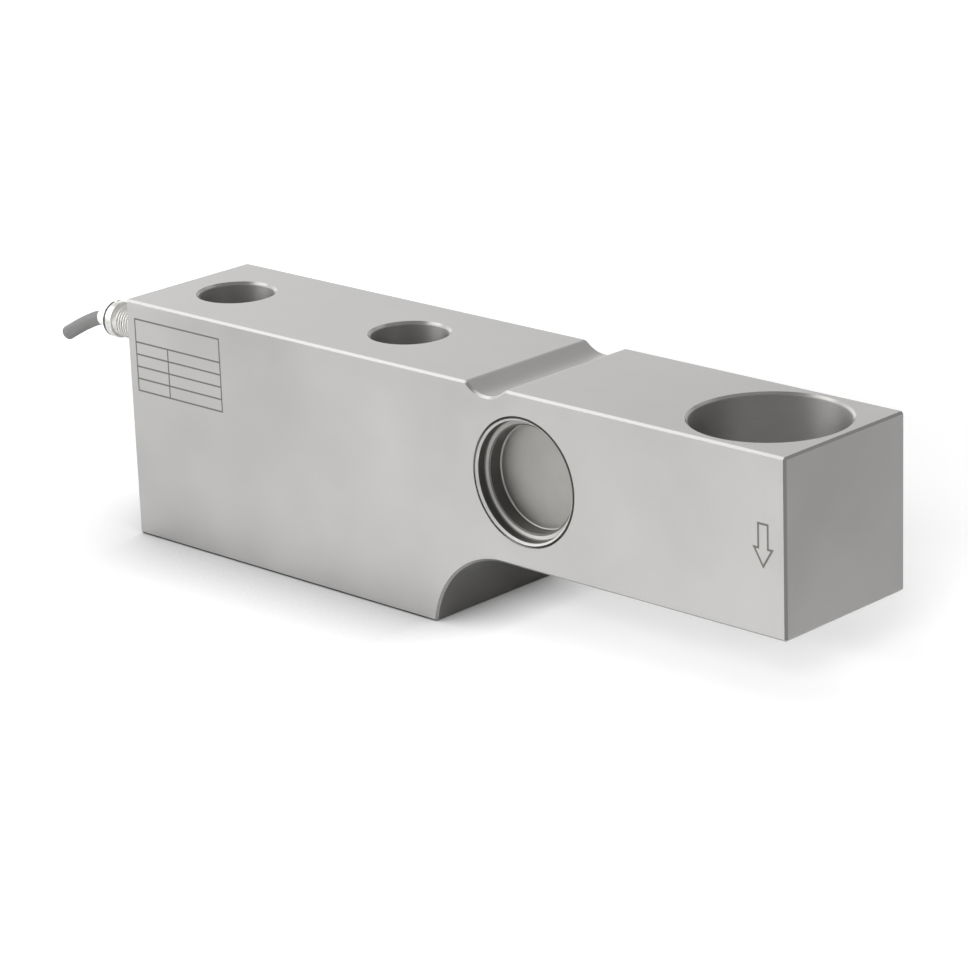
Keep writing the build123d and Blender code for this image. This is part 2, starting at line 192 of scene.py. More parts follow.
def grained_finish(name, colours, roughness, grain, metallic=0.0, bump=0.0):
    """A finish whose colour and roughness wander between two values, with a grain of this size in metres."""
    material = bpy.data.materials.new(name)
    material.use_nodes = True
    tree = material.node_tree
    tree.nodes.clear()
    place = add(tree, "ShaderNodeTexCoord").outputs["Object"]
    noise = add(tree, "ShaderNodeTexNoise", {"Vector": place, "Scale": 1 / grain, "Detail": 3.0})
    share = add(tree, "ShaderNodeMapRange", {"Value": noise.outputs[0], 1: 0.3, 2: 0.7})
    shades = {0: share.outputs[0], 6: linear(colours[0]), 7: linear(colours[1])}
    colour = add(tree, "ShaderNodeMix", shades, data_type="RGBA")
    sheen = {"Value": share.outputs[0], 3: roughness[0], 4: roughness[1]}
    rough = add(tree, "ShaderNodeMapRange", sheen)
    shader = add(tree, "ShaderNodeBsdfPrincipled")
    tree.links.new(colour.outputs[2], shader.inputs["Base Color"])
    tree.links.new(rough.outputs[0], shader.inputs["Roughness"])
    shader.inputs["Metallic"].default_value = metallic
    if bump:
        relief = add(tree, "ShaderNodeBump", {"Strength": 0.5, "Distance": bump, "Height": noise.outputs[0]})
        tree.links.new(relief.outputs[0], shader.inputs["Normal"])
    add(tree, "ShaderNodeOutputMaterial", {"Surface": shader.outputs[0]})
    return material, tree, shader, place


# Polyurethane, extruded and matt: a dull grey with a slow shade along it and a soft grain.
jacket_finish = ("#676767", "#757574"), (0.42, 0.56), 0.0004
jacket_material = grained_finish("extruded_polyurethane_grey", *jacket_finish, bump=0.00004)[0]

# Tinned copper braid: fine bright wires that cross at a slant, drawn as two slanted wave patterns.
braid_pitch = 0.0008
braid_slant = radians(35)
braid_material, tree, shader, place = grained_finish(
    "tinned_copper_braid", ("#8E8A84", "#D2CFC9"), (0.34, 0.44), 0.0003, metallic=1.0
)
along = add(tree, "ShaderNodeUVMap", uv_map="along").outputs[0]
strands = []
for slant in (braid_slant, -braid_slant):
    turned = add(tree, "ShaderNodeMapping", {"Vector": along, "Rotation": (0, 0, slant)}).outputs[0]
    wave = add(tree, "ShaderNodeTexWave", {"Vector": turned, "Scale": 1 / (pi * braid_pitch)})
    strands.append(wave.outputs["Fac"])
weave = add(tree, "ShaderNodeMath", {0: strands[0], 1: strands[1]}, operation="MAXIMUM").outputs[0]
weave_relief = add(tree, "ShaderNodeBump", {"Strength": 0.6, "Distance": 0.0001, "Height": weave}).outputs[0]
tree.links.new(weave_relief, shader.inputs["Normal"])

cable_line = route_points(cable_route)
braid_radius = jacket_radius - jacket_wall
jacket = finished(
    "cable_jacket_tube",
    hollow_tube("cable_jacket_tube", cable_line, jacket_radius, braid_radius),
    jacket_material,
)
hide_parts("cable_jacket")
braid = finished(
    "cable_braid_tube",
    hollow_tube("cable_braid_tube", cable_line, braid_radius, braid_radius - braid_wall),
    braid_material,
)
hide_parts("cable_shield")


# Core insulation is thin PVC in four colours, extruded and glossy, and marked by the braid round it.
# Each core runs from the cable's cut end, flush with the jacket, to its pad on the terminal board.
core_shades = {
    "core_red": ("#A81712", "#BE211A"),
    "core_green": ("#0F6B2C", "#187C37"),
    "core_white": ("#DEDDD8", "#ECEBE7"),
    "core_black": ("#121212", "#1D1D1D"),
}


def coat(node_name, material):
    """Give a CAD node its finish."""
    nodes[node_name].data.materials.clear()
    nodes[node_name].data.materials.append(material)


for node_name, shades in core_shades.items():
    coat(node_name, grained_finish(f"extruded_pvc_{node_name}", shades, (0.26, 0.36), 0.002, bump=0.00002)[0])


# Each core holds seven drawn copper strands, six round one, cut a hair proud of the insulation.
# They show at the cable's cut end as a small bright cluster in each core.
core_circle_radius = 0.00086
strand_radius = 0.00013
strand_proud = 0.00018
strands_round_one = 6
strand_sides = 10
end_heading = (cable_line[-1] - cable_line[-2]).normalized()
end_across = Vector((0, 1, 0))
end_rise = end_heading.cross(end_across)

strand_finish = ("#C98F62", "#DDB089"), (0.24, 0.36), 0.00025
strand_material = grained_finish("drawn_copper_strand", *strand_finish, metallic=1.0)[0]

strand_tree = bpy.data.node_groups.new("core_strands", "GeometryNodeTree")
strand_inputs = {
    "Geometry": "NodeSocketGeometry",
    "Strand Radius": "NodeSocketFloat",
    "Strand Length": "NodeSocketFloat",
    "Finish": "NodeSocketMaterial",
}
for name, kind in strand_inputs.items():
    strand_tree.interface.new_socket(name, in_out="INPUT", socket_type=kind)
strand_tree.interface.new_socket("Geometry", in_out="OUTPUT", socket_type="NodeSocketGeometry")
given = add(strand_tree, "NodeGroupInput").outputs
strand = add(
    strand_tree,
    "GeometryNodeMeshCylinder",
    {"Vertices": strand_sides, "Radius": given["Strand Radius"], "Depth": given["Strand Length"]},
)
turn = add(strand_tree, "FunctionNodeAlignRotationToVector", {"Vector": tuple(end_heading)}, axis="Z")
copies = add(
    strand_tree,
    "GeometryNodeInstanceOnPoints",
    {"Points": given["Geometry"], "Instance": strand.outputs[0], "Rotation": turn.outputs[0]},
)
real = add(strand_tree, "GeometryNodeRealizeInstances", {0: copies.outputs[0]})
coated = add(strand_tree, "GeometryNodeSetMaterial", {0: real.outputs[0], "Material": given["Finish"]})
add(strand_tree, "NodeGroupOutput", {0: coated.outputs[0]})


def grown(name, tree, seed_mesh, values):
    """The plain mesh that a geometry tree makes of a seed mesh with these named inputs."""
    seed = bpy.data.objects.new(name, seed_mesh)
    scene.collection.objects.link(seed)
    modifier = seed.modifiers.new("grow", "NODES")
    modifier.node_group = tree
    for item in tree.interface.items_tree:
        if item.in_out == "INPUT" and item.name in values:
            modifier[item.identifier] = values[item.name]
    bpy.context.view_layer.update()
    graph = bpy.context.evaluated_depsgraph_get()
    mesh = bpy.data.meshes.new_from_object(seed.evaluated_get(graph), depsgraph=graph)
    mesh.name = name
    bpy.data.objects.remove(seed)
    return mesh


strand_seed = bpy.data.meshes.new("strand_seed")
strand_places = []
core_step = core_circle_radius / 2 ** 0.5
for step_y in (1, -1):
    for step_z in (1, -1):
        middle = cable_line[-1] + end_across * step_y * core_step + end_rise * step_z * core_step
        strand_places.append(middle)
        for index in range(strands_round_one):
            angle = tau * index / strands_round_one
            offset = (end_across * cos(angle) + end_rise * sin(angle)) * 2 * strand_radius
            strand_places.append(middle + offset)
strand_seed.from_pydata(strand_places, [], [])
strand_sizes = {"Strand Radius": strand_radius, "Strand Length": 2 * strand_proud, "Finish": strand_material}
strand_ends = finished(
    "core_strand_ends",
    grown("core_strand_ends", strand_tree, strand_seed, strand_sizes),
)


# The gland screw is turned from stainless bar: a hollow M12 screw with a plain collar, two spanner
# slots and a fine thread, screwed into the beam's rear face until it presses the seal round the cable.
# Turning leaves it bright, with a fine thread that sparkles, and the rounding at the end rim is painted dark
# as painted shade.
gland_axis_y = -0.0205
gland_axis_z = 0.0760
screw_inner_end = -0.0640
thread_outer_end = -0.0801
screw_mouth = -0.0855
thread_crest_radius = 0.0060
thread_core_radius = 0.00535
thread_pitch = 0.00125
thread_base_width = 0.00115
thread_crest_width = 0.00035
thread_seat = 0.0001
thread_steps = 48
thread_runout = 0.04
thread_start_size = 0.05
turning_feed = 0.00035
mesh_slack = 0.00001
sharp_angle = radians(30)
rim_line_width = 0.0012
rim_line_radius = 0.0061
rim_line_fade = 0.0001
rim_shade_tone = "#3F3E3D"

screw_material, tree, shader, place = grained_finish(
    "turned_stainless_steel", ("#E2E1DE", "#EEEDEA"), (0.32, 0.42), 0.0009, metallic=1.0
)
screw_x, screw_y, screw_z = add(tree, "ShaderNodeSeparateXYZ", {0: place}).outputs
turned_spot = add(tree, "ShaderNodeCombineXYZ", {1: screw_y, 2: screw_z}).outputs[0]
axis_spot = {0: turned_spot, 1: (0, gland_axis_y, gland_axis_z)}
from_turning_axis = add(tree, "ShaderNodeVectorMath", axis_spot, operation="DISTANCE").outputs["Value"]
# The turning lines are drawn coarser than real ones, so that they show.
turning = add(
    tree,
    "ShaderNodeTexWave",
    {"Vector": place, "Scale": 1 / (pi * turning_feed), "Distortion": 0.4, "Detail": 1.0},
    bands_direction="X",
).outputs["Fac"]
turned_relief = {"Strength": 0.3, "Distance": 0.00002, "Height": turning}
tree.links.new(add(tree, "ShaderNodeBump", turned_relief).outputs[0], shader.inputs["Normal"])

# The painted shade lies on the rounding at the mouth, and not on the flat end face.
rim_end = screw_mouth + rim_line_width
mouth_fade = {"Value": screw_x, 1: rim_end + rim_line_fade, 2: rim_end - rim_line_fade}
near_mouth = add(tree, "ShaderNodeMapRange", mouth_fade).outputs[0]
rounding_fade = {1: rim_line_radius - rim_line_fade, 2: rim_line_radius + rim_line_fade}
at_rounding = add(tree, "ShaderNodeMapRange", {"Value": from_turning_axis, **rounding_fade}).outputs[0]
at_rim = add(tree, "ShaderNodeMath", {0: near_mouth, 1: at_rounding}, operation="MULTIPLY").outputs[0]
plain_steel = shader.inputs["Base Color"].links[0].from_socket
rim_shaded = {0: at_rim, 6: plain_steel, 7: linear(rim_shade_tone)}
tree.links.new(add(tree, "ShaderNodeMix", rim_shaded, data_type="RGBA").outputs[2], shader.inputs["Base Color"])

thread_tree = bpy.data.node_groups.new("gland_thread", "GeometryNodeTree")
thread_inputs = {
    "Geometry": "NodeSocketGeometry",
    "Turns": "NodeSocketFloat",
    "Core Radius": "NodeSocketFloat",
    "Length": "NodeSocketFloat",
    "Ridge Height": "NodeSocketFloat",
    "Base Width": "NodeSocketFloat",
    "Crest Width": "NodeSocketFloat",
    "Steps in a Turn": "NodeSocketInt",
    "Start": "NodeSocketVector",
    "Finish": "NodeSocketMaterial",
}
for name, kind in thread_inputs.items():
    thread_tree.interface.new_socket(name, in_out="INPUT", socket_type=kind)
thread_tree.interface.new_socket("Geometry", in_out="OUTPUT", socket_type="NodeSocketGeometry")
given = add(thread_tree, "NodeGroupInput").outputs
helix = add(
    thread_tree,
    "GeometryNodeCurveSpiral",
    {
        "Resolution": given["Steps in a Turn"],
        "Rotations": given["Turns"],
        "Start Radius": given["Core Radius"],
        "End Radius": given["Core Radius"],
        "Height": given["Length"],
    },
)
upright = add(thread_tree, "GeometryNodeSetCurveNormal", {0: helix.outputs[0]}, mode="Z_UP")
ridge_side = add(
    thread_tree,
    "GeometryNodeCurvePrimitiveQuadrilateral",
    {
        "Height": given["Ridge Height"],
        "Bottom Width": given["Base Width"],
        "Top Width": given["Crest Width"],
        "Offset": 0.0,
    },
    mode="TRAPEZOID",
)
half_ridge = add(thread_tree, "ShaderNodeMath", {0: given["Ridge Height"], 1: 0.5}, operation="MULTIPLY")
lift = add(thread_tree, "ShaderNodeCombineXYZ", {1: half_ridge.outputs[0]})
stood = add(thread_tree, "GeometryNodeTransform", {0: ridge_side.outputs[0], "Translation": lift.outputs[0]})
outward = add(thread_tree, "GeometryNodeTransform", {0: stood.outputs[0], "Rotation": (0, 0, pi / 2)})
run = add(thread_tree, "GeometryNodeSplineParameter").outputs["Factor"]
growing = {"Value": run, 1: 0.0, 2: thread_runout, 3: thread_start_size, 4: 1.0}
run_in = add(thread_tree, "ShaderNodeMapRange", growing)
shrinking = {"Value": run, 1: 1.0 - thread_runout, 2: 1.0, 3: 1.0, 4: thread_start_size}
run_out = add(thread_tree, "ShaderNodeMapRange", shrinking)
fade = add(thread_tree, "ShaderNodeMath", {0: run_in.outputs[0], 1: run_out.outputs[0]}, operation="MINIMUM")
ridge = add(
    thread_tree,
    "GeometryNodeCurveToMesh",
    {0: upright.outputs[0], 1: outward.outputs[0], "Scale": fade.outputs[0], "Fill Caps": True},
)
laid = add(
    thread_tree,
    "GeometryNodeTransform",
    {0: ridge.outputs[0], "Translation": given["Start"], "Rotation": (0, -pi / 2, 0)},
)
screwed = add(thread_tree, "GeometryNodeJoinGeometry", {0: laid.outputs[0]})
thread_tree.links.new(given["Geometry"], screwed.inputs[0])
real = add(thread_tree, "GeometryNodeRealizeInstances", {0: screwed.outputs[0]})
coated = add(thread_tree, "GeometryNodeSetMaterial", {0: real.outputs[0], "Material": given["Finish"]})
add(thread_tree, "NodeGroupOutput", {0: coated.outputs[0]})

# The CAD screw is plain where the thread is, so its copy is turned down there to the thread's core.
screw_copy = bmesh.new()
screw_copy.from_mesh(nodes["gland_screw"].data)
bmesh.ops.remove_doubles(screw_copy, verts=screw_copy.verts, dist=mesh_slack / 10)
for vertex in screw_copy.verts:
    from_axis = Vector((0, vertex.co.y - gland_axis_y, vertex.co.z - gland_axis_z))
    on_crest = abs(from_axis.length - thread_crest_radius) < 2 * mesh_slack
    if on_crest and vertex.co.x > thread_outer_end - mesh_slack:
        turned_down = from_axis * (thread_core_radius / from_axis.length)
        vertex.co = Vector((vertex.co.x, gland_axis_y + turned_down.y, gland_axis_z + turned_down.z))
screw_mesh = bpy.data.meshes.new("screw_body")
screw_copy.to_mesh(screw_mesh)
screw_copy.free()
screw_mesh.materials.clear()
screw_mesh.shade_smooth()
screw_mesh.set_sharp_from_angle(angle=sharp_angle)
thread_length = screw_inner_end - thread_outer_end
thread_sizes = {
    "Turns": thread_length / thread_pitch,
    "Core Radius": thread_core_radius - thread_seat,
    "Length": thread_length,
    "Ridge Height": thread_crest_radius - thread_core_radius + thread_seat,
    "Base Width": thread_base_width,
    "Crest Width": thread_crest_width,
    "Steps in a Turn": thread_steps,
    "Start": (screw_inner_end, gland_axis_y, gland_axis_z),
    "Finish": screw_material,
}
screw_grown = grown("gland_screw_turned", thread_tree, screw_mesh, thread_sizes)
screw = finished("gland_screw_turned", screw_grown, screw_material)
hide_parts("gland_screw")


# Behind the screw sit a punched steel thrust washer and the black nitrile seal, pressed round the cable.
# The bush in the screw's mouth is moulded acetal, natural white and faintly waxy, and steadies the cable.
washer_finish = ("#B4B3B0", "#C6C5C2"), (0.3, 0.45), 0.0005
washer_material = grained_finish("punched_stainless_washer", *washer_finish, metallic=1.0, bump=0.00001)[0]
coat("thrust_washer", washer_material)
seal_finish = ("#131313", "#1F1F1E"), (0.6, 0.75), 0.0008
coat("gland_seal", grained_finish("moulded_nitrile_rubber", *seal_finish, bump=0.00002)[0])
bush_finish = ("#E2E1DC", "#E9E8E4"), (0.35, 0.48), 0.0015
bush_material, tree, shader, place = grained_finish("moulded_natural_acetal", *bush_finish, bump=0.00001)
shader.inputs["Subsurface Weight"].default_value = 0.1
shader.inputs["Subsurface Radius"].default_value = (0.0006, 0.0006, 0.0005)
coat("gland_bush", bush_material)


# The beam is one bar of stainless steel, milled all over, bored through and bead-blasted satin.
# Blasting gives a fine even grain, the bores and the step under the load end are painted darker as painted
# shade, and the broken edges are smoother. Round each pocket lies a thin dark line, the weld's tint with
# painted shade of the narrow groove there.
blast_grain = 0.00035
cloud_size = 0.07
bores = ((-0.043, 0.0135), (0.043, 0.0135), (0.201, 0.026))
bore_shell = 0.0002
boring_feed = 0.0009
boring_stretch = 0.85
boring_heading = (0.02, 0.03, 1.0)
bore_shade_tone = "#AFAEAC"
bored_roughness = 0.52
step_curve_x = 0.11175
step_curve_z = -0.004
step_curve_radius = 0.0325
step_shade_tone = "#8C8B89"
end_faces = (-0.0690, 0.2300)
square_facing = 0.985
slanted_facing = 0.93
level_facing = 0.05
sideways_facing = 0.15
worn_tone = "#A6A5A3"
worn_roughness = 0.25
pocket_x = 0.122
pocket_z = 0.058
weld_line_inner = 0.02182
weld_line_outer = 0.02232
weld_line_floor = 0.0292
weld_and_groove_shade_tone = "#6E6C6A"

beam_material, tree, shader, place = grained_finish(
    "bead_blasted_stainless_steel", ("#BEBDBC", "#CFCECD"), (0.40, 0.50), cloud_size, metallic=1.0
)
satin_colour = shader.inputs["Base Color"].links[0].from_socket
satin_roughness = shader.inputs["Roughness"].links[0].from_socket
# The blasted grain is drawn coarser than the real one, so that it shows.
grain = add(tree, "ShaderNodeTexNoise", {"Vector": place, "Scale": 1 / blast_grain, "Detail": 2.0}).outputs[0]

# Boring lines run round each bore, so they are drawn along Z inside a thin shell at the bore's radius,
# and coarser than real ones so that they show.
spot = add(tree, "ShaderNodeSeparateXYZ", {0: place}).outputs
level_spot = add(tree, "ShaderNodeCombineXYZ", {0: spot[0], 1: spot[1]}).outputs[0]
in_bore = 0.0
for bore_x, bore_radius in bores:
    bore_centre = {0: level_spot, 1: (bore_x, 0, 0)}
    reach = add(tree, "ShaderNodeVectorMath", bore_centre, operation="DISTANCE").outputs["Value"]
    inside = {0: reach, 1: bore_radius + bore_shell}
    inside = add(tree, "ShaderNodeMath", inside, operation="LESS_THAN").outputs[0]
    in_bore = add(tree, "ShaderNodeMath", {0: inside, 1: in_bore}, operation="MAXIMUM").outputs[0]
feed_line = add(
    tree,
    "ShaderNodeTexWave",
    {"Vector": place, "Scale": 1 / (pi * boring_feed), "Distortion": 0.6, "Detail": 1.0},
    bands_direction="Z",
).outputs["Fac"]
bored = add(tree, "ShaderNodeMath", {0: feed_line, 1: in_bore}, operation="MULTIPLY").outputs[0]

# Painted shade makes the bores and the step under the load end darker. The boring lines also spread each
# reflection up and down.
upright_spot = add(tree, "ShaderNodeCombineXYZ", {0: spot[0], 2: spot[2]}).outputs[0]
step_centre = {0: upright_spot, 1: (step_curve_x, 0, step_curve_z)}
from_step = add(tree, "ShaderNodeVectorMath", step_centre, operation="DISTANCE").outputs["Value"]
in_step = add(tree, "ShaderNodeMath", {0: from_step, 1: step_curve_radius}, operation="LESS_THAN").outputs[0]
as_bore_shaded = {0: in_bore, 6: satin_colour, 7: linear(bore_shade_tone)}
bore_shaded_colour = add(tree, "ShaderNodeMix", as_bore_shaded, data_type="RGBA").outputs[2]
as_step_shaded = {0: in_step, 6: bore_shaded_colour, 7: linear(step_shade_tone)}
step_shaded_colour = add(tree, "ShaderNodeMix", as_step_shaded, data_type="RGBA").outputs[2]
stretch = add(tree, "ShaderNodeMath", {0: in_bore, 1: boring_stretch}, operation="MULTIPLY").outputs[0]
tree.links.new(stretch, shader.inputs["Anisotropic"])
nearly_upright = add(tree, "ShaderNodeCombineXYZ", dict(enumerate(boring_heading))).outputs[0]
tree.links.new(nearly_upright, shader.inputs["Tangent"])

# A broken edge is where the surface slants between two faces, or out of a bore or a groove.
facing = add(tree, "ShaderNodeNewGeometry").outputs["Normal"]
squareness = add(tree, "ShaderNodeVectorMath", {0: facing}, operation="ABSOLUTE").outputs[0]
square_x, square_y, square_z = add(tree, "ShaderNodeSeparateXYZ", {0: squareness}).outputs
squarest = add(tree, "ShaderNodeMath", {0: square_x, 1: square_y}, operation="MAXIMUM").outputs[0]
squarest = add(tree, "ShaderNodeMath", {0: squarest, 1: square_z}, operation="MAXIMUM").outputs[0]
slant_range = {"Value": squarest, 1: square_facing, 2: slanted_facing}
slanted = add(tree, "ShaderNodeMapRange", slant_range).outputs[0]
sideways_range = {"Value": square_y, 1: level_facing, 2: sideways_facing}
sideways = add(tree, "ShaderNodeMapRange", sideways_range).outputs[0]
past_start = add(tree, "ShaderNodeMath", {0: spot[0], 1: end_faces[0]}, operation="LESS_THAN").outputs[0]
past_finish = add(tree, "ShaderNodeMath", {0: spot[0], 1: end_faces[1]}, operation="GREATER_THAN").outputs[0]
at_end = add(tree, "ShaderNodeMath", {0: past_start, 1: past_finish}, operation="MAXIMUM").outputs[0]
at_border = add(tree, "ShaderNodeMath", {0: at_end, 1: sideways}, operation="MAXIMUM").outputs[0]
broken = add(tree, "ShaderNodeMath", {0: slanted, 1: at_border}, operation="MULTIPLY").outputs[0]
outside_bore = add(tree, "ShaderNodeMath", {0: 1.0, 1: in_bore}, operation="SUBTRACT").outputs[0]
edge = add(tree, "ShaderNodeMath", {0: broken, 1: outside_bore}, operation="MULTIPLY").outputs[0]
as_worn = {0: edge, 6: step_shaded_colour, 7: linear(worn_tone)}
worn_colour = add(tree, "ShaderNodeMix", as_worn, data_type="RGBA").outputs[2]

# A narrow ring round each pocket, on the outer face only, is painted dark as weld tint with painted shade of
# the groove.
pocket_centre = {0: upright_spot, 1: (pocket_x, 0, pocket_z)}
from_pocket = add(tree, "ShaderNodeVectorMath", pocket_centre, operation="DISTANCE").outputs["Value"]
depth = add(tree, "ShaderNodeMath", {0: spot[1]}, operation="ABSOLUTE").outputs[0]
weld_and_groove_shade = 1.0
for measure, limit, test in (
    (from_pocket, weld_line_inner, "GREATER_THAN"),
    (from_pocket, weld_line_outer, "LESS_THAN"),
    (depth, weld_line_floor, "GREATER_THAN"),
):
    passed = add(tree, "ShaderNodeMath", {0: measure, 1: limit}, operation=test).outputs[0]
    weld_and_groove_shade = add(tree, "ShaderNodeMath", {0: passed, 1: weld_and_groove_shade}, operation="MULTIPLY").outputs[0]
as_weld_and_groove_shade = {0: weld_and_groove_shade, 6: worn_colour, 7: linear(weld_and_groove_shade_tone)}
beam_colour = add(tree, "ShaderNodeMix", as_weld_and_groove_shade, data_type="RGBA").outputs[2]
tree.links.new(beam_colour, shader.inputs["Base Color"])

smoothed = {0: edge, 2: satin_roughness, 3: worn_roughness}
edge_roughness = add(tree, "ShaderNodeMix", smoothed, data_type="FLOAT").outputs[0]
roughened = {0: in_bore, 2: edge_roughness, 3: bored_roughness}
beam_roughness = add(tree, "ShaderNodeMix", roughened, data_type="FLOAT").outputs[0]
tree.links.new(beam_roughness, shader.inputs["Roughness"])
blasted = add(tree, "ShaderNodeBump", {"Strength": 0.12, "Distance": 0.00005, "Height": grain}).outputs[0]
bored_relief = {"Strength": 0.35, "Distance": 0.00006, "Height": bored, "Normal": blasted}
tree.links.new(add(tree, "ShaderNodeBump", bored_relief).outputs[0], shader.inputs["Normal"])
coat("beam_body", beam_material)


# Each pocket cover is a stepped cup, deep drawn from stainless sheet and welded round its rim.
# The walls and the ledge's corners are painted dark as painted shade in the cup, and the flat floor is a fine
# satin. The rim's bevel is turned and painted bright as a painted highlight, and outside it lies a thin dark
# line of weld tint and painted shade.
bevel_inner_radius = 0.02068
bevel_outer_radius = 0.02145
bevel_floor = 0.02928
bevel_highlight_tone = "#E6E5E4"
bevel_roughness = 0.75
floor_facing = 0.65
wall_facing = 0.25
cup_shade_tone = "#6F6E6C"
draw_ring_pitch = 0.0006
ledge_middle_radius = 0.0196
ledge_bright_half = 0.0006
ledge_dark_half = 0.00115
ledge_fade = 0.0002
ledge_slope = 0.42

cover_material, tree, shader, place = grained_finish(
    "deep_drawn_stainless_sheet", ("#A6A5A2", "#AFAEAB"), (0.42, 0.46), 0.012, metallic=1.0
)
sheet_colour = shader.inputs["Base Color"].links[0].from_socket
sheet_roughness = shader.inputs["Roughness"].links[0].from_socket
facing = add(tree, "ShaderNodeNewGeometry").outputs["Normal"]
facing_out = add(tree, "ShaderNodeSeparateXYZ", {0: facing}).outputs[1]
flatness = add(tree, "ShaderNodeMath", {0: facing_out}, operation="ABSOLUTE").outputs[0]
on_wall = add(tree, "ShaderNodeMapRange", {"Value": flatness, 1: floor_facing, 2: wall_facing}).outputs[0]
spot = add(tree, "ShaderNodeSeparateXYZ", {0: place}).outputs
upright_spot = add(tree, "ShaderNodeCombineXYZ", {0: spot[0], 2: spot[2]}).outputs[0]
pocket_centre = {0: upright_spot, 1: (pocket_x, 0, pocket_z)}
from_pocket = add(tree, "ShaderNodeVectorMath", pocket_centre, operation="DISTANCE").outputs["Value"]

# Both corners of the ledge get painted shade, so only its middle stays bright.
off_middle = {0: from_pocket, 1: ledge_middle_radius}
across_ledge = add(tree, "ShaderNodeMath", off_middle, operation="SUBTRACT").outputs[0]
from_ledge = add(tree, "ShaderNodeMath", {0: across_ledge}, operation="ABSOLUTE").outputs[0]
on_ledge = add(tree, "ShaderNodeMath", {0: from_ledge, 1: ledge_dark_half}, operation="LESS_THAN").outputs[0]
bright_border = {"Value": from_ledge, 1: ledge_bright_half, 2: ledge_bright_half + ledge_fade}
past_bright = add(tree, "ShaderNodeMapRange", bright_border).outputs[0]
on_corner = add(tree, "ShaderNodeMath", {0: on_ledge, 1: past_bright}, operation="MULTIPLY").outputs[0]
cup_shade = add(tree, "ShaderNodeMath", {0: on_wall, 1: on_corner}, operation="MAXIMUM").outputs[0]
as_cup_shaded = {0: cup_shade, 6: sheet_colour, 7: linear(cup_shade_tone)}
cup_shaded_colour = add(tree, "ShaderNodeMix", as_cup_shaded, data_type="RGBA").outputs[2]

# The rim's bevel is painted bright, a painted highlight.
past_mouth = {0: from_pocket, 1: bevel_inner_radius}
past_mouth = add(tree, "ShaderNodeMath", past_mouth, operation="GREATER_THAN").outputs[0]
depth = add(tree, "ShaderNodeMath", {0: spot[1]}, operation="ABSOLUTE").outputs[0]
at_face = add(tree, "ShaderNodeMath", {0: depth, 1: bevel_floor}, operation="GREATER_THAN").outputs[0]
on_bevel = add(tree, "ShaderNodeMath", {0: past_mouth, 1: at_face}, operation="MULTIPLY").outputs[0]
as_bevel_highlight = {0: on_bevel, 6: cup_shaded_colour, 7: linear(bevel_highlight_tone)}
bevel_highlight_colour = add(tree, "ShaderNodeMix", as_bevel_highlight, data_type="RGBA").outputs[2]
# Outside the bevel the ring is painted dark, weld tint with painted shade of the groove.
past_bevel = {0: from_pocket, 1: bevel_outer_radius}
past_bevel = add(tree, "ShaderNodeMath", past_bevel, operation="GREATER_THAN").outputs[0]
as_weld_and_groove_shade = {0: past_bevel, 6: bevel_highlight_colour, 7: linear(weld_and_groove_shade_tone)}
cover_colour = add(tree, "ShaderNodeMix", as_weld_and_groove_shade, data_type="RGBA").outputs[2]
tree.links.new(cover_colour, shader.inputs["Base Color"])
roughened = {0: on_bevel, 2: sheet_roughness, 3: bevel_roughness}
cover_roughness = add(tree, "ShaderNodeMix", roughened, data_type="FLOAT").outputs[0]
tree.links.new(cover_roughness, shader.inputs["Roughness"])

# The drawing rings are drawn coarser than real ones, so that they show.
centred = add(tree, "ShaderNodeMapping", {"Vector": place, "Location": (-pocket_x, 0, -pocket_z)}).outputs[0]
draw_rings = add(
    tree,
    "ShaderNodeTexWave",
    {"Vector": centred, "Scale": 1 / (pi * draw_ring_pitch), "Distortion": 1.2, "Detail": 2.0},
    wave_type="RINGS",
    rings_direction="Y",
).outputs["Fac"]
drawn_relief = {"Strength": 0.04, "Distance": 0.00001, "Height": draw_rings}
drawn_relief = add(tree, "ShaderNodeBump", drawn_relief).outputs[0]

# The ledge's bright middle leans in a little, so its low side catches the light from above.
ledge_rise = 2 * ledge_bright_half * ledge_slope
lean_range = {"Value": across_ledge, 1: -ledge_bright_half, 2: ledge_bright_half, 4: ledge_rise}
leaning = add(tree, "ShaderNodeMapRange", lean_range).outputs[0]
leaning_ledge = {"Strength": 1.0, "Distance": 1.0, "Height": leaning, "Normal": drawn_relief}
tree.links.new(add(tree, "ShaderNodeBump", leaning_ledge).outputs[0], shader.inputs["Normal"])
coat("near_cover", cover_material)
coat("far_cover", cover_material)


# A strain gauge is bonded to each face of the web: an amber polyimide film, clear and faintly wavy
# from its glue, with an etched constantan foil grid on it that is dull and slightly warm in colour.
film_finish = ("#A8641A", "#C07B28"), (0.18, 0.3), 0.0015
film_material = grained_finish("cast_polyimide_film", *film_finish, bump=0.00001)[0]
foil_finish = ("#9D9488", "#B3A999"), (0.32, 0.42), 0.0003
foil_material = grained_finish("etched_constantan_foil", *foil_finish, metallic=1.0)[0]
for side in ("near", "far"):
    coat(f"{side}_gauge_carrier", film_material)
    coat(f"{side}_gauge_grid", foil_material)


